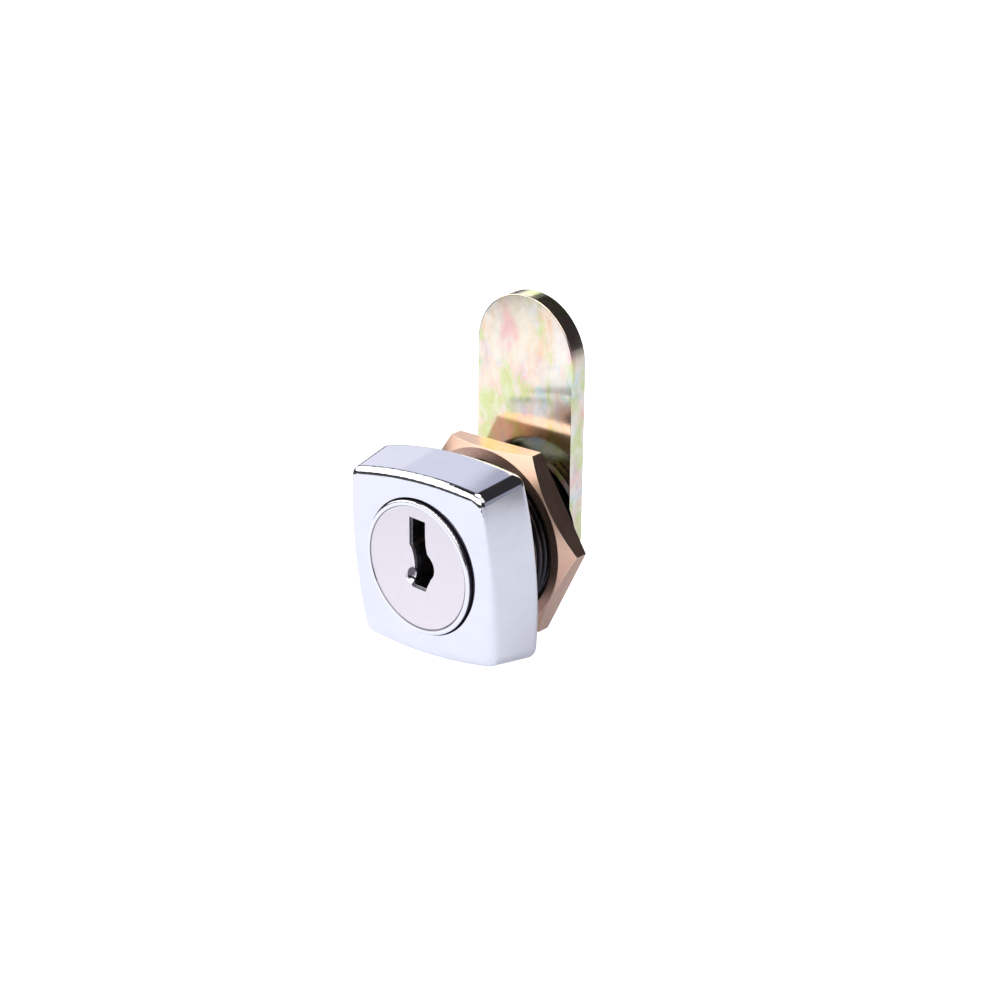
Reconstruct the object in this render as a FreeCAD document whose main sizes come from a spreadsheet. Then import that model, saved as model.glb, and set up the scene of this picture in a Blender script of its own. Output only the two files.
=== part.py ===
import FreeCAD, Part
import os
import re
import Sketcher

# Cam lock. Millimetres and degrees. The origin is the centre of the mounting face on the lock's
# axis; +Z is up, and the face with the keyhole looks along -Y, so depths along Y grow backwards.


def corner_centre(end):
    """How far from the middle, both ways, the arc that rounds a corner of the head is centred."""
    inner = f"({end}_bend - {end}_corner)"
    side = f"({end}_bend - {end}_half)"
    return f"(sqrt(2 * {inner}^2 - {side}^2) - {side}) / 2"


DIMENSIONS = {
    # head
    "head_depth": 7.5,
    "front_half": 12.05,
    "front_bow": 0.95,
    "back_half": 13.35,
    "back_bow": 1.3,
    "front_corner": 1.8,
    "back_corner": 1.8,
    "front_round": 1.05,
    "back_round": 0.9,
    # threaded barrel, M20 x 1 with two flats
    "barrel_r": 10.0,
    "barrel_end": 11.1,
    "barrel_chamfer": 0.6,
    "flat_half": 8.5,
    "relief_r": 9.3,
    "relief_end": 1.0,
    "undercut": 0.25,
    "thread_pitch": 1.0,
    "thread_deep": 0.61,
    # bores in the housing
    "recess_r": 8.95,
    "recess_lip": 0.12,
    "recess_floor": -5.1,
    "bore_r": 6.55,
    "groove_r": 7.6,
    "groove_half": 3.05,
    "groove_start": -4.4,
    "groove_end": 6.4,
    "ring_r": 7.5,
    "ring_start": 7.0,
    "ring_end": 8.2,
    "counterbore_r": 7.05,
    "counterbore_y": 10.1,
    "stop_r": 8.15,
    "stop_middle": 90.0,
    "stop_half": 58.0,
    # plug
    "key_turn": 6.3,
    "flange_r": 8.2,
    "flange_front": -7.55,
    "flange_back": -5.2,
    "plug_r": 6.5,
    "plug_end": 10.2,
    "square_half": 4.0,
    "square_cut": 0.7,
    "square_end": 13.8,
    "screw_hole_r": 2.55,
    "screw_hole_floor": 8.9,
    "keyway_end": 6.9,
    "keyway_top": 5.4,
    # keyhole
    "slot_half": 1.35,
    "slot_top": 6.65,
    "ward_top": 2.55,
    "ward_x": -1.03,
    "ward_bow": 0.59,
    "lobe_x": 2.33,
    "lobe_top": 1.85,
    "lobe_low": -0.85,
    "lobe_bow": 0.57,
    "keyhole_low": -2.8,
    "lip": 0.16,
    "dimple_r": 1.25,
    "dimple_x": -0.9,
    "dimple_z": -1.25,
    "dimple_deep": 0.45,
    # face cap
    "cap_front": -8.15,
    "cap_sheet": 0.6,
    "cap_r": 8.85,
    "cap_round": 0.25,
    "cap_sunk": 0.12,
    "cap_flat_r": 8.1,
    "cap_back": -5.75,
    # wafers and their springs
    "wafer_first": -3.3,
    "wafer_pitch": 1.8,
    "wafer_thick": 0.9,
    "wafer_half": 2.2,
    "wafer_r": 6.45,
    "slot_play": 0.05,
    "window_half": 1.5,
    "window_low": -3.2,
    "window_top": 3.9,
    "ear_x": -3.9,
    "ear_low": -1.0,
    "ear_top": -0.2,
    "pocket_x": -4.05,
    "pocket_low": -2.1,
    "pocket_top": 2.6,
    "spring_room": 1.3,
    "spring_x": -3.25,
    "spring_r": 0.48,
    "wire_r": 0.1,
    "spring_pitch": 0.52,
    "retainer_y": 7.6,
    "retainer_top": 5.5,
    "retainer_low": -7.35,
    # stop washer, cam, lock washer and screw
    "washer_r": 6.9,
    "tab_r": 8.0,
    "tab_half": 1.4,
    "tab_turn": 45.0,
    "cam_front": 11.5,
    "cam_back": 14.0,
    "cam_half": 8.0,
    "cam_reach": 22.8,
    "cam_round": 0.15,
    "square_play": 0.05,
    "lock_washer_back": 14.8,
    "lock_washer_r": 5.0,
    "lock_washer_hole": 2.7,
    "tooth_half": 0.55,
    "tooth_root": 3.9,
    "screw_r": 2.5,
    "screw_tip": 9.4,
    "screw_head_r": 4.5,
    "screw_head_back": 17.9,
    "screw_head_round": 0.8,
    "socket_r": 1.73,
    "socket_deep": 1.9,
    # nut
    "nut_front": 5.0,
    "nut_back": 8.0,
    "nut_half": 12.0,
    "nut_turn": 2.4,
    "nut_face_r": 11.85,
    "nut_slope": 0.65,
    "nut_bore_r": 10.05,
    "nut_bore_chamfer": 0.35,
}

# The sides of the head are arcs that bulge by front_bow or back_bow; each outline's corners are
# rounded by an arc that meets its two neighbours smoothly.
DERIVED = {
    "front_bend": "((front_half - front_bow)^2 + front_bow^2) / (2 * front_bow)",
    "front_centre": corner_centre("front"),
    "front_reach": "front_centre * front_bend / (front_bend - front_corner)",
    "back_bend": "((back_half - back_bow)^2 + back_bow^2) / (2 * back_bow)",
    "back_centre": corner_centre("back"),
    "back_reach": "back_centre * back_bend / (back_bend - back_corner)",
}

# How far each wafer's window sits from the middle height, which is what the key's cuts match.
WAFER_CODES = [0.3, -0.3, 0.6, 0.0, -0.6, 0.3]

AXIS_Y = FreeCAD.Vector(0, 1, 0)
UP = FreeCAD.Vector(0, 0, 1)

os.makedirs("parts", exist_ok=True)
doc = FreeCAD.newDocument("cam_lock")
sheet = doc.addObject("Spreadsheet::Sheet", "dims")
ALIASES = [*DIMENSIONS, *DERIVED]
for row, alias in enumerate(ALIASES, start=1):
    sheet.set(f"A{row}", alias)
    sheet.setAlias(f"B{row}", alias)
    sheet.set(f"B{row}", str(DIMENSIONS[alias]) if alias in DIMENSIONS else "=" + DERIVED[alias])
doc.recompute()


def bind(text):
    """The expression with each dimension's name pointed at the sheet."""
    return re.sub(r"[a-z]\w*", lambda m: f"dims.{m[0]}" if m[0] in ALIASES else m[0], str(text))


def number(text):
    """What an expression comes to now."""
    found = sheet.evalExpression(bind(text))
    return float(getattr(found, "Value", found))


def new_body(name, turn=None):
    """An empty body, turned about the lock's axis where a turn is given."""
    body = doc.addObject("PartDesign::Body", name)
    body.Label = name
    if turn:
        body.Placement = FreeCAD.Placement(FreeCAD.Vector(), FreeCAD.Rotation(AXIS_Y, 1))
        body.setExpression("Placement.Rotation.Angle", bind(turn))
    return body


def datum(body, role):
    """One of the body's own origin planes or axes."""
    return next(f for f in body.Origin.OriginFeatures if f.Role == role)


def new_sketch(body, name, role, offset="0"):
    """A sketch on one of the body's planes, moved along that plane's normal."""
    sketch = body.newObject("Sketcher::SketchObject", name)
    sketch.AttachmentSupport = (datum(body, role), [""])
    sketch.MapMode = "FlatFace"
    sketch.setExpression("AttachmentOffset.Base.z", bind(offset))
    return sketch


def face_sketch(body, name, depth):
    """A sketch across the lock's axis, at a depth along Y."""
    return new_sketch(body, name, "XZ_Plane", f"-({depth})")


def hold(sketch, kind, text, *where):
    """Adds one dimension to the sketch and ties it to the sheet."""
    index = sketch.addConstraint(Sketcher.Constraint(kind, *where, number(text)))
    sketch.setExpression(f"Constraints[{index}]", bind(text))


def place_point(sketch, geometry, position, x, y):
    hold(sketch, "DistanceX", x, -1, 1, geometry, position)
    hold(sketch, "DistanceY", y, -1, 1, geometry, position)


def near_end(sketch, geometry, spot):
    """1 or 2: the end of the edge that lies at this spot. Arcs may run either way."""
    gaps = [(sketch.getPoint(geometry, end) - spot).Length for end in (1, 2)]
    return 1 + gaps.index(min(gaps))


def outline(sketch, corners):
    """A closed outline. A corner is (x, y), or (x, y, bow) where the edge it starts is bowed left."""
    spots = [FreeCAD.Vector(number(c[0]), number(c[1]), 0) for c in corners]
    edges = []
    for i, corner in enumerate(corners):
        start, end = spots[i], spots[(i + 1) % len(spots)]
        if len(corner) == 2:
            edges.append(sketch.addGeometry(Part.LineSegment(start, end)))
            continue
        along = (end - start).normalize()
        middle = (start + end) * 0.5 + UP.cross(along) * number(corner[2])
        edges.append(sketch.addGeometry(Part.Arc(start, middle, end)))
    for i, corner in enumerate(corners):
        after = near_end(sketch, edges[i], spots[i])
        before = near_end(sketch, edges[i - 1], spots[i])
        sketch.addConstraint(Sketcher.Constraint("Coincident", edges[i - 1], before, edges[i], after))
        place_point(sketch, edges[i], after, corner[0], corner[1])
        if len(corner) == 3:
            x1, y1 = corners[(i + 1) % len(corners)][:2]
            chord = f"(({x1}) - ({corner[0]}))^2 + (({y1}) - ({corner[1]}))^2"
            bow = f"abs({corner[2]})"
            hold(sketch, "Radius", f"({chord}) / 8 / {bow} + {bow} / 2", edges[i])


def circle(sketch, radius, x="0", y="0"):
    centre = FreeCAD.Vector(number(x), number(y), 0)
    ring = sketch.addGeometry(Part.Circle(centre, UP, number(radius)))
    place_point(sketch, ring, 3, x, y)
    hold(sketch, "Radius", radius, ring)


def box_corners(x0, x1, y0, y1):
    return [(x0, y0), (x1, y0), (x1, y1), (x0, y1)]


def extrude(body, kind, name, sketch, length):
    """A Pad or a Pocket that runs backwards, along +Y, from its sketch."""
    feature = body.newObject(f"PartDesign::{kind}", name)
    feature.Profile = sketch
    feature.Reversed = kind == "Pad"
    feature.setExpression("Length", bind(length))
    sketch.Visibility = False
    return feature


def spin(body, kind, name, corners):
    """A Revolution or a Groove about the lock's axis. Corners are (radius, depth)."""
    sketch = new_sketch(body, name + "Profile", "XY_Plane")
    outline(sketch, corners)
    feature = body.newObject(f"PartDesign::{kind}", name)
    feature.Profile = sketch
    feature.ReferenceAxis = (sketch, ["V_Axis"])
    feature.Angle = 360
    sketch.Visibility = False
    return feature


def repeat(body, kind, name, originals, axis, count, span):
    """A LinearPattern or PolarPattern of features, which becomes the body's tip."""
    pattern = body.newObject(f"PartDesign::{kind}", name)
    pattern.Originals = originals
    linear = kind == "LinearPattern"
    setattr(pattern, "Direction" if linear else "Axis", (datum(body, axis), [""]))
    pattern.setExpression("Length" if linear else "Angle", bind(span))
    pattern.Occurrences = count
    body.Tip = pattern
    return pattern


def dress(body, kind, name, size, wanted):
    """A Fillet or Chamfer on the edges of the body so far that the test picks."""
    doc.recompute()
    base = body.Tip
    picked = [f"Edge{i}" for i, edge in enumerate(base.Shape.Edges, start=1) if wanted(edge)]
    feature = body.newObject(f"PartDesign::{kind}", name)
    feature.Base = (base, picked)
    feature.setExpression("Radius" if kind == "Fillet" else "Size", bind(size))
    return feature


def on_depth(edge, depth):
    return abs(edge.BoundBox.YMin - depth) < 1e-4 and abs(edge.BoundBox.YMax - depth) < 1e-4


def thread(body, kind, name, corners, pitch, height, axis="Y_Axis"):
    """A helical cut or spring wire: the profile swept round an axis."""
    sketch = new_sketch(body, name + "Profile", "XY_Plane")
    outline(sketch, corners)
    feature = body.newObject(f"PartDesign::{kind}", name)
    feature.Profile = sketch
    feature.ReferenceAxis = (datum(body, axis), [""])
    feature.Mode = "pitch-height-angle"
    feature.setExpression("Pitch", bind(pitch))
    feature.setExpression("Height", bind(height))
    sketch.Visibility = False
    return feature


def pillow_square(sketch, end):
    """The head's outline at its front or back end: four bowed sides and four rounded corners."""
    across = f"{end}_reach"
    rise = f"sqrt({end}_bend^2 - {end}_reach^2) - {end}_bend + {end}_half"
    side = f"-({end}_half - ({rise}))"
    chord = f"({across} + {rise}) / 2"
    corner = f"-sqrt(2) * ({end}_centre - ({chord})) - {end}_corner"
    points = []
    for x, y in ((-1, -1), (1, -1), (1, 1), (-1, 1)):
        upright = [(f"{x} * ({rise})", f"{y} * {across}"), (f"{x} * {across}", f"{y} * ({rise})")]
        points += upright if x == y else upright[::-1]
    bows = [corner, side] * 4
    outline(sketch, [(*point, bow) for point, bow in zip(points, bows)])


def make_housing():
    body = new_body("housing")
    back = face_sketch(body, "HeadBack", "0")
    pillow_square(back, "back")
    front = face_sketch(body, "HeadFront", "-head_depth")
    pillow_square(front, "front")
    head = body.newObject("PartDesign::AdditiveLoft", "Head")
    head.Profile = back
    head.Sections = [front]
    head.Ruled = True
    back.Visibility = False
    front.Visibility = False
    dress(body, "Fillet", "HeadFrontEdge", "front_round", lambda e: on_depth(e, -DIMENSIONS["head_depth"]))
    dress(body, "Fillet", "HeadBackEdge", "back_round", lambda e: on_depth(e, 0))
    barrel = [("0", "-1"), ("barrel_r", "-1"), ("barrel_r", "barrel_end - barrel_chamfer")]
    barrel += [("barrel_r - barrel_chamfer", "barrel_end"), ("0", "barrel_end")]
    spin(body, "Revolution", "Barrel", barrel)
    cut_flats(body)
    cut_bores(body)
    cut_thread(body)
    return body


def cut_thread(body):
    relief = [("relief_r", "-undercut"), ("barrel_r + 0.1", "-undercut"), ("barrel_r + 0.1", "0")]
    relief += [("barrel_r + 0.5", "0"), ("barrel_r + 0.5", "relief_end"), ("relief_r", "relief_end")]
    spin(body, "Groove", "ThreadRelief", relief)
    profile = [("barrel_r + 0.06", "relief_end - 0.96"), ("barrel_r + 0.06", "relief_end - 0.04")]
    profile += [("barrel_r - thread_deep", "relief_end - 0.4"), ("barrel_r - thread_deep", "relief_end - 0.6")]
    thread(body, "SubtractiveHelix", "BarrelThread", profile, "thread_pitch", "barrel_end + 0.5")


def cut_flats(body):
    sketch = face_sketch(body, "FlatsSketch", "0")
    outline(sketch, box_corners("-barrel_r", "barrel_r", "flat_half", "barrel_r + 1"))
    outline(sketch, box_corners("-barrel_r", "barrel_r", "-barrel_r - 1", "-flat_half"))
    extrude(body, "Pocket", "Flats", sketch, "barrel_end + 1")


def cut_bores(body):
    lip = "recess_r + recess_lip"
    bore = [("0", "-head_depth - 1"), (lip, "-head_depth - 1"), (lip, "-head_depth")]
    bore += [("recess_r", "-head_depth + recess_lip"), ("recess_r", "recess_floor")]
    bore += [("bore_r", "recess_floor"), ("bore_r", "ring_start"), ("ring_r", "ring_start")]
    bore += [("ring_r", "ring_end"), ("bore_r", "ring_end"), ("bore_r", "counterbore_y")]
    bore += [("counterbore_r", "counterbore_y"), ("counterbore_r", "barrel_end + 1"), ("0", "barrel_end + 1")]
    spin(body, "Groove", "Bore", bore)
    sketch = face_sketch(body, "WaferGroovesSketch", "groove_start")
    outline(sketch, box_corners("-groove_half", "groove_half", "-groove_r", "groove_r"))
    extrude(body, "Pocket", "WaferGrooves", sketch, "groove_end - groove_start")
    sector = face_sketch(body, "StopSectorSketch", "counterbore_y")
    ends = [f"stop_middle {sign} stop_half" for sign in "+-"]
    rim = [(f"stop_r * sin({turn})", f"stop_r * cos({turn})") for turn in ends]
    outline(sector, [("0", "0"), (*rim[0], "-stop_r * (1 - cos(stop_half))"), rim[1]])
    extrude(body, "Pocket", "StopSector", sector, "barrel_end - counterbore_y + 1")


def draw_keyhole(sketch, inset="0"):
    """The slot for the blade, the side ward that stands into it and the lobe opposite."""
    half = f"slot_half - {inset} / 2"
    low = f"keyhole_low + {inset}"
    points = [(f"-({half})", "slot_top"), (f"-({half})", "ward_top + 0.3")]
    points += [("ward_x", "ward_top", "ward_bow"), ("ward_x", f"{low} + 0.3")]
    points += [("ward_x + 0.2", low), (f"{half} + 0.08", low), ("slot_half + 0.25", f"{low} + 0.5")]
    points += [("lobe_x", "lobe_low", "-lobe_bow"), ("lobe_x", "lobe_top")]
    points += [("slot_half + 0.35", "lobe_top + 0.6"), ("slot_half + 0.1", "lobe_top + 1.6")]
    points += [(half, "lobe_top + 3"), (half, "slot_top")]
    outline(sketch, points)


def make_plug():
    body = new_body("plug", "key_turn")
    solid = [("0", "flange_front"), ("flange_r", "flange_front"), ("flange_r", "flange_back")]
    solid += [("plug_r", "flange_back"), ("plug_r", "plug_end"), ("0", "plug_end")]
    spin(body, "Revolution", "PlugBody", solid)
    end = face_sketch(body, "SquareSketch", "plug_end - 0.5")
    draw_square(end, "square_half", "square_cut")
    extrude(body, "Pad", "SquareEnd", end, "square_end - plug_end + 0.5")
    hole = [("0", "screw_hole_floor"), ("screw_hole_r", "screw_hole_floor + 0.6")]
    hole += [("screw_hole_r", "square_end + 1"), ("0", "square_end + 1")]
    spin(body, "Groove", "ScrewHole", hole)
    keyhole = face_sketch(body, "KeyholeSketch", "flange_front - 1")
    draw_keyhole(keyhole, "lip")
    extrude(body, "Pocket", "Keyhole", keyhole, "flange_back - flange_front + 1")
    keyway = face_sketch(body, "KeywaySketch", "flange_back")
    outline(keyway, box_corners("-slot_half", "slot_half", "keyhole_low", "keyway_top"))
    extrude(body, "Pocket", "Keyway", keyway, "keyway_end - flange_back")
    slots = [cut_wafer_slot(body, "Wafer", "wafer_first"), cut_spring_room(body, "Wafer", "wafer_first")]
    span = f"{len(WAFER_CODES) - 1} * wafer_pitch"
    repeat(body, "LinearPattern", "WaferSlots", slots, "Y_Axis", len(WAFER_CODES), span)
    cut_wafer_slot(body, "Retainer", "retainer_y")
    cut_spring_room(body, "Retainer", "retainer_y")
    return body


def draw_square(sketch, half, cut):
    """A square with its corners cut off."""
    near = f"({half}) - ({cut})"
    points = [(f"-({near})", f"-({half})"), (near, f"-({half})"), (half, f"-({near})"), (half, near)]
    points += [(near, half), (f"-({near})", half), (f"-({half})", near), (f"-({half})", f"-({near})")]
    outline(sketch, points)


def cut_wafer_slot(body, name, depth):
    side = "wafer_half + slot_play"
    sketch = face_sketch(body, name + "SlotSketch", f"{depth} - wafer_thick / 2 - slot_play")
    outline(sketch, box_corners(f"-({side})", side, "-plug_r - 1", "plug_r + 1"))
    return extrude(body, "Pocket", name + "Slot", sketch, "wafer_thick + 2 * slot_play")


def cut_spring_room(body, name, depth):
    sketch = face_sketch(body, name + "SpringSketch", f"{depth} - spring_room / 2")
    outline(sketch, box_corners("pocket_x", "-wafer_half + 0.2", "pocket_low", "pocket_top"))
    return extrude(body, "Pocket", name + "SpringRoom", sketch, "spring_room")


def make_cap():
    """The pressed cup over the plug's flange."""
    body = new_body("face_cap", "key_turn")
    inner = "cap_r - cap_sheet"
    floor = "cap_front + cap_sheet"
    bow = "cap_round * (1 - sqrt(0.5))"
    cup = [("0", "cap_front + cap_sunk"), ("cap_flat_r", "cap_front + cap_sunk")]
    cup += [("cap_flat_r + cap_sunk", "cap_front"), ("cap_r - cap_round", "cap_front", f"-{bow}")]
    cup += [("cap_r", "cap_front + cap_round"), ("cap_r", "cap_back"), (inner, "cap_back")]
    cup += [(inner, floor), ("0", floor)]
    spin(body, "Revolution", "Cup", cup)
    keyhole = face_sketch(body, "KeyholeSketch", "cap_front - 1")
    draw_keyhole(keyhole)
    extrude(body, "Pocket", "Keyhole", keyhole, "cap_sheet + 2")
    press_dimple(body)
    return body


def press_dimple(body):
    """The ball-shaped dent beside the keyhole."""
    ball = "((dimple_r^2 + dimple_deep^2) / (2 * dimple_deep))"
    dimple = body.newObject("PartDesign::SubtractiveSphere", "Dimple")
    dimple.AttachmentSupport = (datum(body, "XZ_Plane"), [""])
    dimple.MapMode = "FlatFace"
    dimple.setExpression("Radius", bind(ball))
    dimple.setExpression("AttachmentOffset.Base.x", bind("dimple_x"))
    dimple.setExpression("AttachmentOffset.Base.y", bind("dimple_z"))
    dimple.setExpression("AttachmentOffset.Base.z", bind(f"{ball} - dimple_deep - cap_front - cap_sunk"))


def plate(body, name, depth, top, low, window=None):
    """A flat wafer with ends rounded to the plug, an ear for its spring and perhaps a window."""
    sketch = face_sketch(body, name + "Sketch", f"{depth} - wafer_thick / 2")
    bow = "-(wafer_r - sqrt(wafer_r^2 - wafer_half^2))"
    shoulder = "(wafer_r - sqrt(wafer_r^2 - wafer_half^2))"
    points = [("-wafer_half", f"{low} + {shoulder}", bow), ("wafer_half", f"{low} + {shoulder}")]
    points += [("wafer_half", f"{top} - {shoulder}", bow), ("-wafer_half", f"{top} - {shoulder}")]
    points += [("-wafer_half", "ear_top"), ("ear_x", "ear_top"), ("ear_x", "ear_low")]
    points += [("-wafer_half", "ear_low")]
    outline(sketch, points)
    if window is not None:
        outline(sketch, box_corners("-window_half", "window_half", f"window_low + {window}", f"window_top + {window}"))
    extrude(body, "Pad", name, sketch, "wafer_thick")


def make_wafer(index):
    body = new_body(f"wafer_{index + 1}", "key_turn")
    depth = f"(wafer_first + {index} * wafer_pitch)"
    plate(body, "Plate", depth, "wafer_r", "-wafer_r", WAFER_CODES[index])
    return body


def make_retainer():
    body = new_body("retainer_wafer", "key_turn")
    plate(body, "Plate", "retainer_y", "retainer_top", "retainer_low")
    return body


def make_spring(name, depth):
    """A coil between the wafer's ear and the top of its pocket, wound about its own Z axis."""
    body = new_body(name, "key_turn")
    sketch = new_sketch(body, "WireSketch", "XZ_Plane")
    circle(sketch, "wire_r", "spring_r", "ear_top + wire_r")
    coil = body.newObject("PartDesign::AdditiveHelix", "Coil")
    coil.Profile = sketch
    coil.ReferenceAxis = (sketch, ["V_Axis"])
    coil.Mode = "pitch-height-angle"
    coil.setExpression("Pitch", bind("spring_pitch"))
    coil.setExpression("Height", bind("pocket_top - ear_top - 2 * wire_r - 0.02"))
    sketch.Visibility = False
    body.setExpression("Placement.Base.x", bind(f"spring_x * cos(key_turn)"))
    body.setExpression("Placement.Base.y", bind(depth))
    body.setExpression("Placement.Base.z", bind("-spring_x * sin(key_turn)"))
    return body


def make_stop_washer():
    body = new_body("stop_washer", "key_turn")
    sketch = face_sketch(body, "RingSketch", "plug_end")
    circle(sketch, "washer_r")
    draw_square(sketch, "square_half + square_play", "square_cut")
    extrude(body, "Pad", "Ring", sketch, "cam_front - plug_end")
    tab = face_sketch(body, "TabSketch", "plug_end")
    along = ("sin(tab_turn)", "cos(tab_turn)")
    points = []
    for reach, side in (("6", "-1"), ("6", "1"), ("tab_r", "1"), ("tab_r", "-1")):
        x = f"({reach}) * {along[0]} + ({side}) * tab_half * {along[1]}"
        z = f"({reach}) * {along[1]} - ({side}) * tab_half * {along[0]}"
        points.append((x, z))
    outline(tab, points)
    extrude(body, "Pad", "Tab", tab, "cam_front - plug_end")
    return body


def make_cam():
    body = new_body("cam", "key_turn")
    sketch = face_sketch(body, "CamSketch", "cam_front")
    points = [("-cam_half", "0", "cam_half * -0.9999"), ("cam_half", "0")]
    points += [("cam_half", "cam_reach", "cam_half * -0.9999"), ("-cam_half", "cam_reach")]
    outline(sketch, points)
    draw_square(sketch, "square_half + square_play", "square_cut")
    extrude(body, "Pad", "CamPlate", sketch, "cam_back - cam_front")
    long_edges = lambda e: e.BoundBox.YLength < 1e-6 and e.Length > 15
    dress(body, "Fillet", "StampedEdges", "cam_round", long_edges)
    return body


def make_lock_washer():
    body = new_body("lock_washer", "key_turn")
    sketch = face_sketch(body, "RingSketch", "cam_back")
    circle(sketch, "tooth_root")
    circle(sketch, "lock_washer_hole")
    extrude(body, "Pad", "Ring", sketch, "lock_washer_back - cam_back")
    tooth = face_sketch(body, "ToothSketch", "cam_back")
    outline(tooth, box_corners("-tooth_half", "tooth_half", "tooth_root - 0.3", "lock_washer_r"))
    tooth_pad = extrude(body, "Pad", "Tooth", tooth, "lock_washer_back - cam_back")
    repeat(body, "PolarPattern", "Teeth", [tooth_pad], "Y_Axis", 10, "360")
    return body


def make_screw():
    body = new_body("cam_screw", "key_turn")
    bow = "screw_head_round * (1 - sqrt(0.5))"
    head = [("0", "screw_tip"), ("screw_r - 0.5", "screw_tip"), ("screw_r", "screw_tip + 0.5")]
    head += [("screw_r", "lock_washer_back"), ("screw_head_r", "lock_washer_back")]
    head += [("screw_head_r", "screw_head_back - screw_head_round", f"-{bow}")]
    head += [("screw_head_r - screw_head_round", "screw_head_back"), ("0", "screw_head_back")]
    spin(body, "Revolution", "Screw", head)
    socket = face_sketch(body, "SocketSketch", "screw_head_back - socket_deep")
    hexagon(socket, "socket_r")
    extrude(body, "Pocket", "Socket", socket, "socket_deep + 1")
    return body


def hexagon(sketch, corner):
    """A hexagon with a flat side up, sized from the middle to a corner."""
    turns = range(0, 360, 60)
    outline(sketch, [(f"({corner}) * cos({a})", f"({corner}) * sin({a})") for a in turns])


def make_nut():
    body = new_body("hex_nut", "nut_turn")
    sketch = face_sketch(body, "HexSketch", "nut_front")
    hexagon(sketch, "nut_half / cos(30)")
    extrude(body, "Pad", "Hex", sketch, "nut_back - nut_front")
    corner = "nut_half / cos(30) + 1"
    rise = f"({corner} - nut_face_r) * nut_slope"
    front = [("nut_face_r", "nut_front"), (corner, f"nut_front + {rise}"), (corner, "nut_front - 1")]
    front += [("nut_face_r", "nut_front - 1")]
    spin(body, "Groove", "FrontChamfer", front)
    edge = "nut_bore_r + nut_bore_chamfer"
    bore = [("0", "nut_front - 1"), (edge, "nut_front - 1"), (edge, "nut_front")]
    bore += [("nut_bore_r", "nut_front + nut_bore_chamfer"), ("nut_bore_r", "nut_back - nut_bore_chamfer")]
    bore += [(edge, "nut_back"), (edge, "nut_back + 1"), ("0", "nut_back + 1")]
    spin(body, "Groove", "NutBore", bore)
    profile = [("nut_bore_r - 0.06", "nut_front - 1.46"), ("nut_bore_r - 0.06", "nut_front - 0.54")]
    profile += [("nut_bore_r + thread_deep", "nut_front - 0.9"), ("nut_bore_r + thread_deep", "nut_front - 1.1")]
    thread(body, "SubtractiveHelix", "NutThread", profile, "thread_pitch", "nut_back - nut_front + 2")
    return body


bodies = [make_housing(), make_plug(), make_cap()]
bodies += [make_wafer(i) for i in range(len(WAFER_CODES))]
for i in range(len(WAFER_CODES)):
    bodies.append(make_spring(f"wafer_spring_{i + 1}", f"wafer_first + {i} * wafer_pitch"))
bodies += [make_retainer(), make_spring("retainer_spring", "retainer_y")]
bodies += [make_stop_washer(), make_cam(), make_lock_washer(), make_screw(), make_nut()]
doc.recompute()

for item in doc.Objects:
    if {"Invalid", "Error"} & set(item.State):
        raise RuntimeError(f"{item.Name} did not build: {item.State}")
for body in bodies:
    if body.Shape.isNull() or not body.Shape.isValid():
        raise RuntimeError(f"{body.Label} has no valid solid")
    if len(body.Shape.Solids) != 1:
        raise RuntimeError(f"{body.Label} is {len(body.Shape.Solids)} solids")
    print(f"{body.Label}: {body.Shape.Volume:.2f} mm3")
    body.Shape.exportStep(f"parts/{body.Label}.step")
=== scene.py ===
import bpy
import math
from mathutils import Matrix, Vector


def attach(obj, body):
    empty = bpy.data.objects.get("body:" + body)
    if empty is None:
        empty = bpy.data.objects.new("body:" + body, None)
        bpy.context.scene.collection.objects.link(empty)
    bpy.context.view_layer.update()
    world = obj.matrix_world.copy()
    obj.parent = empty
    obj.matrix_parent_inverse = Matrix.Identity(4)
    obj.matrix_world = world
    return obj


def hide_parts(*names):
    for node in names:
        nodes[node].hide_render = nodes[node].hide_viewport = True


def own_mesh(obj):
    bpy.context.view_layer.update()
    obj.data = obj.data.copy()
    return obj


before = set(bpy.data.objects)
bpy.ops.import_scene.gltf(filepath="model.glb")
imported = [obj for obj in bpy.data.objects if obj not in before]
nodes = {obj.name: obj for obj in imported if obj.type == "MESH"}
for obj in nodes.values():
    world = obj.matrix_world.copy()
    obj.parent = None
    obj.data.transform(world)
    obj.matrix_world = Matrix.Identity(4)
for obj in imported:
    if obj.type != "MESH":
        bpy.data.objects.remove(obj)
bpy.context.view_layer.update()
scene = bpy.context.scene
scene.view_settings.view_transform = "Standard"
print("frame loaded:", len(nodes), "nodes")


def link(tree, value, target):
    # a socket is linked; a plain value is set on the target
    if isinstance(value, bpy.types.NodeSocket):
        tree.links.new(value, target)
    elif value is not None:
        target.default_value = value


def addNode(tree, kind, inputs=(), **values):
    node = tree.nodes.new(kind)
    for key, value in values.items():
        setattr(node, key, value)
    for key, value in dict(inputs).items():
        link(tree, value, node.inputs[key])
    return node


def maths(tree, operation, first, second=None, third=None):
    node = addNode(tree, "ShaderNodeMath", operation=operation)
    for i, item in enumerate((first, second, third)):
        link(tree, item, node.inputs[i])
    return node.outputs[0]


def spread(tree, value, low, high, toLow=0.0, toHigh=1.0):
    # maps low..high to toLow..toHigh with soft ends
    inputs = {"Value": value, "From Min": low, "From Max": high, "To Min": toLow, "To Max": toHigh}
    return addNode(tree, "ShaderNodeMapRange", inputs, interpolation_type="SMOOTHSTEP").outputs[0]


def mixColour(tree, factor, first, second, blend="MIX"):
    node = addNode(tree, "ShaderNodeMix", data_type="RGBA", blend_type=blend)
    link(tree, factor, node.inputs[0])
    for item, socket in ((first, node.inputs[6]), (second, node.inputs[7])):
        link(tree, (*item, 1) if isinstance(item, tuple) else item, socket)
    return node.outputs[2]


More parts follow.
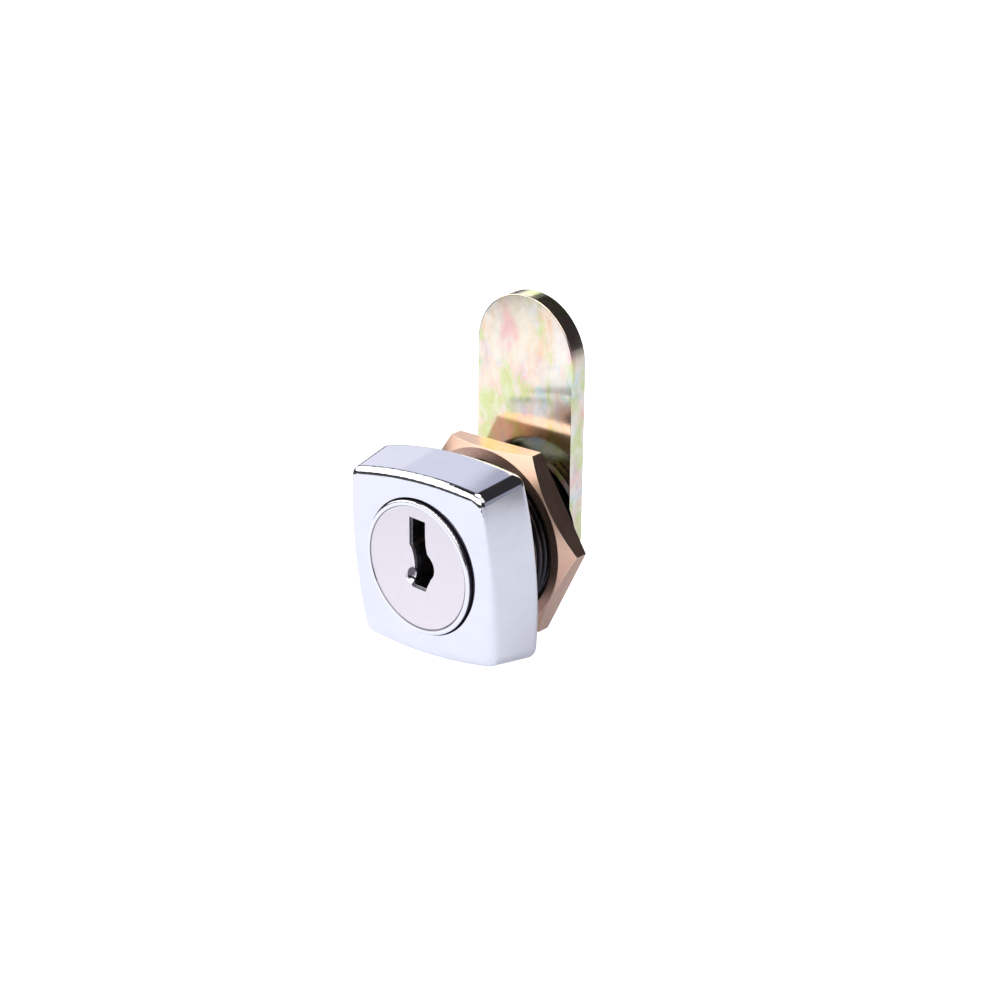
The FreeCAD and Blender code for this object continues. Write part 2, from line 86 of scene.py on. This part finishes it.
def ramp(tree, factor, stops):
    node = addNode(tree, "ShaderNodeValToRGB")
    bar = node.color_ramp.elements
    while len(bar) < len(stops):
        bar.new(0.5)
    for element, (place, colour) in zip(bar, stops):
        element.position = place
        element.color = (*colour, 1)
    link(tree, factor, node.inputs[0])
    return node.outputs[0]


def noise(tree, place, scale, detail=2.0, rough=0.5, warp=0.0):
    inputs = {"Vector": place, "Scale": scale, "Detail": detail, "Roughness": rough, "Distortion": warp}
    return addNode(tree, "ShaderNodeTexNoise", inputs).outputs[0]


def objectPlace(tree, turn=(0, 0, 0), scale=(1, 1, 1)):
    place = addNode(tree, "ShaderNodeTexCoord").outputs["Object"]
    inputs = {"Vector": place, "Rotation": turn, "Scale": scale}
    return addNode(tree, "ShaderNodeMapping", inputs).outputs[0]


def apartXYZ(tree, place):
    return addNode(tree, "ShaderNodeSeparateXYZ", {"Vector": place}).outputs


def distance(tree, first, second):
    squares = [maths(tree, "MULTIPLY", part, part) for part in (first, second)]
    return maths(tree, "SQRT", maths(tree, "ADD", *squares))


def radiusOf(tree, place):
    # distance from the lock's axis, which is Y
    x, _, z = apartXYZ(tree, place)
    return distance(tree, x, z)


def bump(tree, height, distance, strength=1.0, normal=None):
    inputs = {"Height": height, "Distance": distance, "Strength": strength}
    node = addNode(tree, "ShaderNodeBump", inputs)
    if normal is not None:
        link(tree, normal, node.inputs["Normal"])
    return node.outputs[0]


def newGroup(name, inputs, output="Value", kind="NodeSocketFloat"):
    # each shared effect has number inputs and one output
    tree = bpy.data.node_groups.new(name, "ShaderNodeTree")
    for title, value in inputs.items():
        socket = tree.interface.new_socket(title, in_out="INPUT", socket_type="NodeSocketFloat")
        socket.default_value = value
    tree.interface.new_socket(output, in_out="OUTPUT", socket_type=kind)
    return tree, tree.nodes.new("NodeGroupInput").outputs, tree.nodes.new("NodeGroupOutput").inputs


def useGroup(tree, group, inputs):
    return addNode(tree, "ShaderNodeGroup", inputs, node_tree=group).outputs[0]


def metalMaterial(name, colour, rough, normal=None, metallic=1.0):
    # colour, rough and normal are functions of the tree, or plain values
    material = bpy.data.materials.new(name)
    material.use_nodes = True
    tree = material.node_tree
    tree.nodes.clear()
    shader = addNode(tree, "ShaderNodeBsdfPrincipled")
    output = addNode(tree, "ShaderNodeOutputMaterial")
    tree.links.new(shader.outputs[0], output.inputs[0])
    looks = {"Base Color": colour, "Roughness": rough, "Normal": normal, "Metallic": metallic}
    for key, value in looks.items():
        made = value(tree) if callable(value) else value
        link(tree, (*made, 1) if isinstance(made, tuple) else made, shader.inputs[key])
    return material


def paint(material, *names):
    for name in names:
        nodes[name].data.materials.clear()
        nodes[name].data.materials.append(material)


cameraSettings = {
    "place": (0.208861, -0.208997, 0.112132),
    "turn": (1.225133, 0.0720985, 0.7411566),
    "lens": 90,
    "sensor": 36,
    "near": 0.01,
}
cameraData = bpy.data.cameras.new("camera")
cameraData.lens = cameraSettings["lens"]
cameraData.sensor_width = cameraSettings["sensor"]
cameraData.clip_start = cameraSettings["near"]
camera = bpy.data.objects.new("camera", cameraData)
camera.location = cameraSettings["place"]
camera.rotation_euler = cameraSettings["turn"]
scene.collection.objects.link(camera)
scene.camera = camera

floorSettings = {
    "height": -0.0139,
    "half": 3,
    "paint": (0.42, 0.43, 0.46),
    "dark paint": (0.01, 0.01, 0.012),
    "rough": 0.9,
    "own light": (0.86, 0.88, 1.0),
    "own strength": 0.46,
    "bright to": 0.15,
    "dark from": 0.158,
    "back fade": (0.06, 0.4),
    "back end": 0.4,
    "back starts": (-0.04, 0.05),
    "back drop": 0.42,
    "seen strength": 1.0,
    "seen light": (1.0, 1.0, 1.0),
}
half = floorSettings["half"]
floorMesh = bpy.data.meshes.new("floor")
corners = [(-half, -half, 0), (half, -half, 0), (half, half, 0), (-half, half, 0)]
floorMesh.from_pydata(corners, [], [(0, 1, 2, 3)])
floor = bpy.data.objects.new("floor", floorMesh)
floor.location = (0, 0, floorSettings["height"])
scene.collection.objects.link(floor)

floorMaterial = metalMaterial("paleFloor", floorSettings["paint"], floorSettings["rough"], metallic=0.0)
tree = floorMaterial.node_tree
shader = tree.nodes["Principled BSDF"]
seen = addNode(tree, "ShaderNodeLightPath").outputs["Is Camera Ray"]
# a pale sheet round the lock: it ends sharply in front, fades behind, glows a little for the metal to
# reflect, and is plain white when looked at directly
x, y, _ = apartXYZ(tree, objectPlace(tree))
away = distance(tree, x, y)
front = spread(tree, away, floorSettings["bright to"], floorSettings["dark from"], 1.0, 0.0)
back = spread(tree, away, *floorSettings["back fade"], 1.0, floorSettings["back end"])
toBack = spread(tree, maths(tree, "ADD", x, y), *floorSettings["back starts"])
behind = maths(tree, "MULTIPLY", back, toBack)
sheet = maths(tree, "ADD", behind, maths(tree, "MULTIPLY", front, maths(tree, "SUBTRACT", 1, toBack)))
even = maths(tree, "MULTIPLY_ADD", toBack, -floorSettings["back drop"], 1.0)
glow = maths(tree, "MULTIPLY", maths(tree, "MULTIPLY", sheet, even), floorSettings["own strength"])
glow = maths(tree, "MULTIPLY", maths(tree, "SUBTRACT", 1, seen), glow)
paper = mixColour(tree, sheet, floorSettings["dark paint"], floorSettings["paint"])
link(tree, paper, shader.inputs["Base Color"])
glow = maths(tree, "ADD", glow, maths(tree, "MULTIPLY", seen, floorSettings["seen strength"]))
link(tree, glow, shader.inputs["Emission Strength"])
glowColour = mixColour(tree, seen, floorSettings["own light"], floorSettings["seen light"])
link(tree, glowColour, shader.inputs["Emission Color"])
floorMesh.materials.append(floorMaterial)

# the room: dark, with pale panels to light the metal and dark gaps between them
world = bpy.data.worlds.new("studio")
scene.world = world
world.use_nodes = True
tree = world.node_tree
tree.nodes.clear()
worldOut = addNode(tree, "ShaderNodeOutputWorld")
background = addNode(tree, "ShaderNodeBackground")
tree.links.new(background.outputs[0], worldOut.inputs[0])
x, y, z = apartXYZ(tree, addNode(tree, "ShaderNodeTexCoord").outputs["Generated"])
# azimuth 0 looks at the lock's face, positive to the right
azimuth = maths(tree, "ARCTAN2", x, maths(tree, "MULTIPLY", y, -1))
elevation = maths(tree, "ARCSINE", z)


def panel(tree, azimuth, elevation, middle, size, soft):
    # 1 inside a box of directions, given in degrees, with soft edges
    away = maths(tree, "WRAP", maths(tree, "SUBTRACT", azimuth, math.radians(middle[0])), math.pi, -math.pi)
    rise = maths(tree, "SUBTRACT", elevation, math.radians(middle[1]))
    sides = []
    for value, half in zip((away, rise), size):
        reach = maths(tree, "ABSOLUTE", value)
        sides.append(spread(tree, reach, math.radians(half), math.radians(half + soft), 1.0, 0.0))
    return maths(tree, "MULTIPLY", *sides)


worldSettings = {"dark": (0.03, 0.028, 0.03), "seen": (1.0, 1.0, 1.0)}
panels = [
    # middle (azimuth, elevation), half size, softness, colour, brightness
    ((-29, 33), (75, 21), 2, (1.0, 1.0, 1.0), 1.7),
    ((-127, 18), (7, 9), 5, (0.88, 0.89, 1.0), 0.96),
    ((-129, 34), (9, 7), 8, (0.85, 0.86, 1.0), 0.88),
    ((-135, 43), (10, 6), 8, (0.78, 0.79, 1.0), 0.58),
    ((-145, 19), (8, 9), 1.5, (1.0, 0.97, 0.92), 1.2),
    ((150, 80), (180, 8), 5, (1.0, 0.97, 0.92), 2.2),
    ((112, 6), (16, 10), 6, (0.82, 0.83, 1.0), 0.34),
    ((80, 50), (24, 20), 6, (1.0, 0.98, 0.95), 1.0),
]
light = worldSettings["dark"]
for middle, size, soft, colour, bright in panels:
    mask = panel(tree, azimuth, elevation, middle, size, soft)
    light = mixColour(tree, mask, light, tuple(bright * part for part in colour), "LIGHTEN")
seen = addNode(tree, "ShaderNodeLightPath").outputs["Is Camera Ray"]
link(tree, mixColour(tree, seen, light, worldSettings["seen"]), background.inputs[0])

keySettings = {"place": (-0.22, -0.3, 0.5), "size": 0.35, "power": 2.5}
keyData = bpy.data.lights.new("keyLight", "AREA")
keyData.size = keySettings["size"]
keyData.energy = keySettings["power"]
keyLight = bpy.data.objects.new("keyLight", keyData)
keyLight.location = keySettings["place"]
keyLight.rotation_euler = (-Vector(keySettings["place"])).to_track_quat("-Z", "Y").to_euler()
keyLight.visible_glossy = False
scene.collection.objects.link(keyLight)
print("camera, floor and lights made")

# plating that is nearly flat: long low waves bend the reflections a little
waves, given, result = newGroup("platingWaves", {"Size": 900, "Height": 1}, "Normal", "NodeSocketVector")
place = objectPlace(waves)
broad = noise(waves, place, given["Size"], 1.0)
link(waves, bump(waves, broad, 0.000004, given["Height"]), result["Normal"])

# cloudy wiping marks, from clean at 0 to dull at 1
smears, given, result = newGroup("smears", {"Size": 220, "Cover": 0.5})
place = objectPlace(smears, turn=(0.3, 0.5, 0.2), scale=(1.0, 1.0, 2.2))
cloud = noise(smears, place, given["Size"], 4.0, 0.6, 0.8)
link(smears, spread(smears, maths(smears, "ADD", cloud, given["Cover"]), 0.85, 1.25), result["Value"])

# fine stray scratches in three directions
scratches, given, result = newGroup("scratches", {"Size": 260, "Cover": 0.5})
total = 0.0
scratchTurns = ((0.1, 0.55, 0.0), (0.4, -0.9, 0.3), (0.0, 1.3, 0.2))
scratchStretch = (14.0, 9.0, 1.0)
for turn in scratchTurns:
    place = objectPlace(scratches, turn=turn, scale=scratchStretch)
    streak = noise(scratches, place, given["Size"], 1.0, 0.4, 0.15)
    line = maths(scratches, "ABSOLUTE", maths(scratches, "SUBTRACT", streak, 0.5))
    thin = spread(scratches, line, 0.0, 0.012, 1.0, 0.0)
    patch = spread(scratches, noise(scratches, objectPlace(scratches, turn=turn), 380, 1.0), 0.62, 0.7)
    total = maths(scratches, "MAXIMUM", total, maths(scratches, "MULTIPLY", thin, patch))
link(scratches, maths(scratches, "MULTIPLY", total, given["Cover"]), result["Value"])

# rings left by turning about the lock's axis
turning, given, result = newGroup("turningMarks", {"Size": 4000})
place = objectPlace(turning)
wander = maths(turning, "MULTIPLY", noise(turning, place, 500, 1.0), 0.00008)
ring = maths(turning, "MULTIPLY", maths(turning, "ADD", radiusOf(turning, place), wander), given["Size"])
groove = addNode(turning, "ShaderNodeTexNoise", noise_dimensions="1D")
for key, value in {"W": ring, "Scale": 1.0, "Detail": 3.0}.items():
    link(turning, value, groove.inputs[key])
link(turning, groove.outputs[0], result["Value"])

# straight marks left by sawing or milling along Y
milling, given, result = newGroup("millingMarks", {"Size": 5000})
place = objectPlace(milling, scale=(0.04, 1.0, 0.04))
link(milling, noise(milling, place, given["Size"], 3.0, 0.6), result["Value"])

# how close the surface is to a sharp edge
edges, given, result = newGroup("edgeWear", {"Reach": 0.00025})
rounded = addNode(edges, "ShaderNodeBevel", {"Radius": given["Reach"]}, samples=4).outputs[0]
plain = addNode(edges, "ShaderNodeNewGeometry").outputs["Normal"]
same = addNode(edges, "ShaderNodeVectorMath", operation="DOT_PRODUCT")
edges.links.new(rounded, same.inputs[0])
edges.links.new(plain, same.inputs[1])
near = spread(edges, same.outputs["Value"], 0.9, 0.995, 1.0, 0.0)
broken = spread(edges, noise(edges, objectPlace(edges), 2500, 3.0), 0.3, 0.6, 0.4, 1.0)
link(edges, maths(edges, "MULTIPLY", near, broken), result["Value"])

# fine even grain of blasted or brushed sheet
grain, given, result = newGroup("grain", {"Size": 9000})
link(grain, noise(grain, objectPlace(grain), given["Size"], 2.0, 0.7), result["Value"])
print("shared effects made")


def wornEdges(tree, colour, bright, reach=0.0002):
    # rubbed brighter along the sharp edges
    return mixColour(tree, useGroup(tree, edges, {"Reach": reach}), colour, bright)


def markedRough(group, size, swing, base):
    # roughness that goes up and down with a shared effect
    return lambda tree: maths(tree, "MULTIPLY_ADD", useGroup(tree, group, {"Size": size}), swing, base)


def markedNormal(group, size, depth, strength=0.4):
    return lambda tree: bump(tree, useGroup(tree, group, {"Size": size}), depth, strength)


chromeSettings = {
    "colour": (0.86, 0.87, 0.93),
    "worn": (0.82, 0.83, 0.88),
    # the thread colours are painted shade on the plated shank, and its edge colour is a painted highlight
    "thread": (0.055, 0.055, 0.065),
    "thread pale": (0.1, 0.1, 0.11),
    "thread painted highlight": (0.22, 0.22, 0.24),
    "thread dull": 0.18,
    "thread from": (0.00005, 0.0003),
    "recess": (0.04, 0.038, 0.05),
    "recess radius": (0.00896, 0.00904),
    "recess lip": (-0.0075, -0.0074),
    "smear": {"Size": 160, "Cover": 0.45},
    "polish": 0.035,
    "dull": 0.08,
}


def chromeColour(tree):
    # bright head, plated threads painted near-black as painted shade with a painted highlight along their
    # edges, and painted shade on the wall of the disc's recess
    y = apartXYZ(tree, objectPlace(tree))[1]
    headNotThread = spread(tree, y, *chromeSettings["thread from"], 1.0, 0.0)
    smear = useGroup(tree, smears, chromeSettings["smear"])
    head = mixColour(tree, smear, chromeSettings["colour"], chromeSettings["worn"])
    cloud = noise(tree, objectPlace(tree), 700, 3.0)
    # painted shade: the plated threads between the head and the nut take a near-black colour
    shadedShank = mixColour(tree, cloud, chromeSettings["thread"], chromeSettings["thread pale"])
    # painted highlight: lighter along the thread edges
    shadedShank = wornEdges(tree, shadedShank, chromeSettings["thread painted highlight"], 0.00012)
    # painted shade inside the recess round the disc
    recess = spread(tree, radiusOf(tree, objectPlace(tree)), *chromeSettings["recess radius"], 1.0, 0.0)
    recess = maths(tree, "MULTIPLY", recess, spread(tree, y, *chromeSettings["recess lip"]))
    head = mixColour(tree, recess, head, chromeSettings["recess"])
    return mixColour(tree, headNotThread, shadedShank, head)


def chromeRough(tree):
    y = apartXYZ(tree, objectPlace(tree))[1]
    smear = useGroup(tree, smears, chromeSettings["smear"])
    swing = chromeSettings["dull"] - chromeSettings["polish"]
    head = maths(tree, "MULTIPLY_ADD", smear, swing, chromeSettings["polish"])
    thread = spread(tree, y, *chromeSettings["thread from"], 0.0, chromeSettings["thread dull"])
    return maths(tree, "ADD", head, thread)


def chromeNormal(tree):
    low = useGroup(tree, waves, {"Size": 420, "Height": 0.3})
    return bump(tree, useGroup(tree, scratches, {"Size": 200, "Cover": 0.5}), 0.0000008, 0.4, low)


paint(metalMaterial("chromePlate", chromeColour, chromeRough, chromeNormal), "housing")

faceSettings = {
    "colour": (0.88, 0.83, 0.855),
    "speck": (0.7, 0.64, 0.67),
    "pale": (0.93, 0.88, 0.89),
    "rim": (0.9, 0.9, 0.93),
    "rim rough": 0.09,
    "wall rough": 0.42,
    "flat radius": 0.0081,
    "rim starts": 0.00012,
    "wall radius": (0.0085, 0.0087),
    "dent": (-0.0009, -0.00125),
    "dent radius": (0.00105, 0.0012),
    "crease": (0.06, 0.05, 0.07),
    "dent shade": (0.06, 0.045, 0.06),
}


def faceRim(tree):
    # 1 on the polished rolled rim and the side wall, 0 on the flat
    start = faceSettings["flat radius"]
    return spread(tree, radiusOf(tree, objectPlace(tree)), start, start + faceSettings["rim starts"])


def fromDent(tree):
    # how far right of and above the dent's middle
    x, _, z = apartXYZ(tree, objectPlace(tree))
    return [maths(tree, "SUBTRACT", value, middle) for value, middle in zip((x, z), faceSettings["dent"])]


def faceDent(tree):
    # 1 inside the punched dent, where the sheet is burnished
    return spread(tree, distance(tree, *fromDent(tree)), *faceSettings["dent radius"], 1.0, 0.0)


def cutWall(tree):
    # 1 where the sheet is seen edge on: the keyhole's sides and the rim's side wall
    normal = addNode(tree, "ShaderNodeTexCoord").outputs["Normal"]
    return spread(tree, maths(tree, "ABSOLUTE", apartXYZ(tree, normal)[1]), 0.25, 0.5, 1.0, 0.0)


def sideWall(tree):
    # the rim's side wall sits in the shade of its recess
    outer = spread(tree, radiusOf(tree, objectPlace(tree)), *faceSettings["wall radius"])
    return maths(tree, "MULTIPLY", cutWall(tree), outer)


def creaseShade(tree):
    # painted shade in the step between the flat and the rim, widest at the lower right
    place = objectPlace(tree)
    x, _, z = apartXYZ(tree, place)
    width = spread(tree, maths(tree, "SUBTRACT", x, z), 0.002, 0.011, 0.00006, 0.00012)
    middle = faceSettings["flat radius"] + faceSettings["rim starts"] / 2
    off = maths(tree, "ABSOLUTE", maths(tree, "SUBTRACT", radiusOf(tree, place), middle))
    return spread(tree, maths(tree, "DIVIDE", off, width), 0.6, 1.3, 1.0, 0.0)


def dentShade(tree):
    # painted shade in the dent, on the side away from the light
    across, up = fromDent(tree)
    slope = maths(tree, "SUBTRACT", up, across)
    return maths(tree, "MULTIPLY", spread(tree, slope, -0.0002, 0.0005), faceDent(tree))


def facePolish(tree):
    worn = useGroup(tree, edges, {"Reach": 0.0002})
    return maths(tree, "MAXIMUM", maths(tree, "MAXIMUM", faceRim(tree), faceDent(tree)), worn)


def faceColour(tree):
    spots = spread(tree, useGroup(tree, grain, {"Size": 7000}), 0.52, 0.68)
    broad = noise(tree, objectPlace(tree), 350, 3.0)
    spots = maths(tree, "MULTIPLY", spots, 0.5)
    flat = mixColour(tree, spots, faceSettings["colour"], faceSettings["speck"])
    flat = mixColour(tree, maths(tree, "MULTIPLY", broad, 0.3), flat, faceSettings["pale"])
    bright = mixColour(tree, facePolish(tree), flat, faceSettings["rim"])
    # painted shade in the crease and on the rim's side wall
    shade = maths(tree, "MAXIMUM", maths(tree, "MULTIPLY", creaseShade(tree), 0.85), sideWall(tree))
    bright = mixColour(tree, shade, bright, faceSettings["crease"])
    # painted shade over the dent's upper-left half
    return mixColour(tree, maths(tree, "MULTIPLY", dentShade(tree), 0.92), bright, faceSettings["dent shade"])


def faceRough(tree):
    flat = maths(tree, "MULTIPLY_ADD", useGroup(tree, grain, {"Size": 5000}), 0.16, 0.3)
    mix = addNode(tree, "ShaderNodeMix", {"Factor": facePolish(tree)})
    link(tree, flat, mix.inputs[2])
    link(tree, faceSettings["rim rough"], mix.inputs[3])
    wall = maths(tree, "MULTIPLY", cutWall(tree), faceSettings["wall rough"])
    return maths(tree, "MAXIMUM", mix.outputs[0], wall)


def faceNormal(tree):
    plain = maths(tree, "SUBTRACT", 1, faceRim(tree))
    height = maths(tree, "MULTIPLY", useGroup(tree, grain, {"Size": 9000}), plain)
    return bump(tree, height, 0.000004, 0.6)


paint(metalMaterial("faceSteel", faceColour, faceRough, faceNormal), "face_cap")

camSettings = {
    "turn": math.radians(6.3),
    "cream": (1.0, 0.86, 0.64),
    "green": (0.66, 0.82, 0.28),
    "pink": (1.0, 0.58, 0.54),
    "blue": (0.56, 0.82, 0.9),
    "lilac": (0.66, 0.54, 0.82),
    "pale": (1.0, 0.97, 0.88),
    "orange": (1.0, 0.62, 0.34),
    "worn": (1.0, 0.98, 0.95),
    # tone, seed, size, where each island starts and is full, and how much it covers
    "islands": [
        ("pink", 2, 170, 0.48, 0.7, 1.0),
        ("lilac", 3, 230, 0.5, 0.72, 0.7),
        ("blue", 4, 300, 0.52, 0.7, 0.8),
        ("orange", 5, 200, 0.5, 0.75, 0.8),
    ],
    "seed step": (0.37, 0.11, 0.23),
}


def camPlace(tree, scale=(1, 1, 1)):
    return objectPlace(tree, turn=(0, camSettings["turn"], 0), scale=scale)


def camPatch(tree, seed, size, low, high):
    # soft-edged islands that cover part of the plate; each seed gives other islands
    place = addNode(tree, "ShaderNodeVectorMath", {0: camPlace(tree, (1.0, 1.0, 0.6))}, operation="ADD")
    place.inputs[1].default_value = [seed * step for step in camSettings["seed step"]]
    return spread(tree, noise(tree, place.outputs[0], size, 3.0, 0.62, 0.35), low, high)


def camColour(tree):
    tones = camSettings
    x = apartXYZ(tree, camPlace(tree))[0]
    colour = mixColour(tree, camPatch(tree, 1, 130, 0.42, 0.62), tones["cream"], tones["pale"])
    for tone, seed, size, low, high, cover in camSettings["islands"]:
        island = maths(tree, "MULTIPLY", camPatch(tree, seed, size, low, high), cover)
        colour = mixColour(tree, island, colour, tones[tone])
    left = spread(tree, x, -0.0078, -0.0015, 0.14, -0.07)  # greener towards the left edge
    green = spread(tree, maths(tree, "ADD", camPatch(tree, 6, 230, 0.2, 0.8), left), 0.42, 0.72, 0.0, 0.8)
    colour = mixColour(tree, green, colour, tones["green"])
    fine = camPatch(tree, 7, 800, 0.42, 0.66)
    colour = mixColour(tree, maths(tree, "MULTIPLY", fine, 0.4), colour, tones["pale"])
    calm = mixColour(tree, 0.15, colour, tones["cream"])
    flecks = spread(tree, noise(tree, camPlace(tree), 2200, 2.0, 0.6), 0.66, 0.72, 0.0, 0.6)
    marks = maths(tree, "MAXIMUM", useGroup(tree, scratches, {"Size": 180, "Cover": 0.8}), flecks)
    rubbed = maths(tree, "MULTIPLY", useGroup(tree, edges, {"Reach": 0.0002}), 0.5)
    return mixColour(tree, maths(tree, "MAXIMUM", marks, rubbed), calm, tones["worn"])


def camRough(tree):
    cloud = noise(tree, camPlace(tree), 500, 3.0, 0.6)
    return maths(tree, "MULTIPLY_ADD", cloud, 0.14, 0.07)


def camNormal(tree):
    low = bump(tree, noise(tree, camPlace(tree), 700, 2.0), 0.00001, 0.35)
    return bump(tree, useGroup(tree, scratches, {"Size": 180, "Cover": 1.0}), 0.000002, 0.5, low)


paint(metalMaterial("passivatedZinc", camColour, camRough, camNormal), "cam")

nutSettings = {
    "colour": (0.87, 0.6, 0.45),
    "deep": (0.62, 0.35, 0.27),
    "pale": (0.97, 0.77, 0.6),
    "turned rough": 0.26,
    "flat rough": 0.17,
}


def nutFlat(tree):
    # 1 on the six flats, 0 on the turned faces
    normal = addNode(tree, "ShaderNodeTexCoord").outputs["Normal"]
    y = apartXYZ(tree, normal)[1]
    return spread(tree, maths(tree, "ABSOLUTE", y), 0.1, 0.35, 1.0, 0.0)


def nutMarks(tree):
    rings = useGroup(tree, turning, {"Size": 9000})
    lines = useGroup(tree, milling, {"Size": 6000})
    mix = addNode(tree, "ShaderNodeMix", {"Factor": nutFlat(tree)})
    link(tree, rings, mix.inputs[2])
    link(tree, lines, mix.inputs[3])
    return mix.outputs[0]


def nutColour(tree):
    marks = spread(tree, nutMarks(tree), 0.35, 0.65)
    colour = mixColour(tree, marks, nutSettings["deep"], nutSettings["colour"])
    colour = mixColour(tree, 0.5, colour, nutSettings["colour"])
    stain = spread(tree, noise(tree, objectPlace(tree), 300, 4.0, 0.6, 0.6), 0.45, 0.7, 0.0, 0.35)
    colour = mixColour(tree, stain, colour, nutSettings["deep"])
    return wornEdges(tree, colour, nutSettings["pale"])


def nutRough(tree):
    base = spread(tree, nutFlat(tree), 0.0, 1.0, nutSettings["turned rough"], nutSettings["flat rough"])
    return maths(tree, "MULTIPLY_ADD", nutMarks(tree), 0.14, base)


def nutNormal(tree):
    return bump(tree, nutMarks(tree), 0.000006, 0.5)


paint(metalMaterial("machinedBrass", nutColour, nutRough, nutNormal), "hex_nut")

# painted shade: the plug is coloured darker than bare zinc, so the keyhole's inside reads black
plugSettings = {"colour": (0.3, 0.3, 0.33), "dark": (0.16, 0.16, 0.18), "bright": (0.5, 0.5, 0.54)}


def plugColour(tree):
    cloud = noise(tree, objectPlace(tree), 600, 4.0, 0.6, 0.5)
    colour = mixColour(tree, spread(tree, cloud, 0.35, 0.65), plugSettings["dark"], plugSettings["colour"])
    return wornEdges(tree, colour, plugSettings["bright"])


plugRough = markedRough(grain, 4000, 0.2, 0.2)
plugNormal = markedNormal(grain, 2500, 0.00001)
paint(metalMaterial("castZinc", plugColour, plugRough, plugNormal), "plug")

waferSettings = {"colour": (0.8, 0.6, 0.3), "dull": (0.6, 0.42, 0.2), "bright": (0.92, 0.76, 0.46)}


def waferColour(tree):
    cloud = noise(tree, objectPlace(tree), 900, 3.0, 0.6, 0.6)
    colour = mixColour(tree, spread(tree, cloud, 0.35, 0.7), waferSettings["colour"], waferSettings["dull"])
    return wornEdges(tree, colour, waferSettings["bright"], 0.00015)


waferRough = markedRough(grain, 6000, 0.2, 0.22)
waferNormal = markedNormal(milling, 7000, 0.000004)
wafers = [name for name in nodes if "wafer" in name and "spring" not in name]
paint(metalMaterial("stampedBrass", waferColour, waferRough, waferNormal), *wafers)

springSettings = {"colour": (0.5, 0.5, 0.53), "dark": (0.32, 0.31, 0.33)}


def springColour(tree):
    drawn = noise(tree, objectPlace(tree), 3000, 2.0)
    return mixColour(tree, spread(tree, drawn, 0.35, 0.7), springSettings["colour"], springSettings["dark"])


springRough = markedRough(grain, 5000, 0.15, 0.2)
springs = [name for name in nodes if "spring" in name]
paint(metalMaterial("springWire", springColour, springRough), *springs)

washerSettings = {
    "colour": (0.78, 0.7, 0.45),
    "green": (0.66, 0.72, 0.4),
    "pink": (0.8, 0.58, 0.5),
    "bright": (0.9, 0.86, 0.76),
}


def washerColour(tree):
    tones = washerSettings
    cloud = noise(tree, objectPlace(tree), 700, 3.0, 0.6, 1.0)
    colour = ramp(tree, cloud, [(0.35, tones["pink"]), (0.5, tones["colour"]), (0.65, tones["green"])])
    return wornEdges(tree, colour, tones["bright"], 0.00012)


washerRough = markedRough(grain, 4000, 0.2, 0.18)
washerNormal = markedNormal(grain, 2000, 0.000006)
washerMetal = metalMaterial("passivatedSteel", washerColour, washerRough, washerNormal)
paint(washerMetal, "stop_washer", "lock_washer")

screwSettings = {"colour": (0.66, 0.66, 0.69), "dark": (0.48, 0.48, 0.5), "bright": (0.86, 0.86, 0.88)}


def screwColour(tree):
    rings = useGroup(tree, turning, {"Size": 7000})
    colour = mixColour(tree, spread(tree, rings, 0.35, 0.65), screwSettings["dark"], screwSettings["colour"])
    return wornEdges(tree, colour, screwSettings["bright"])


screwRough = markedRough(turning, 7000, 0.18, 0.14)
screwNormal = markedNormal(turning, 7000, 0.000008)
paint(metalMaterial("platedScrew", screwColour, screwRough, screwNormal), "cam_screw")
print("materials made")

# the retainer's coil: a copy of the spring's mesh that rides on the plug, with the original hidden
coilSettings = {"piece": "retainer_spring", "joint": "retainer_slide", "body": "plug", "travel": 0.00094}
retainerCoil = bpy.data.objects.new("retainer_coil", nodes[coilSettings["piece"]].data.copy())
scene.collection.objects.link(retainerCoil)
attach(retainerCoil, coilSettings["body"])
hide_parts(coilSettings["piece"])
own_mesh(retainerCoil)
print("retainer coil made")
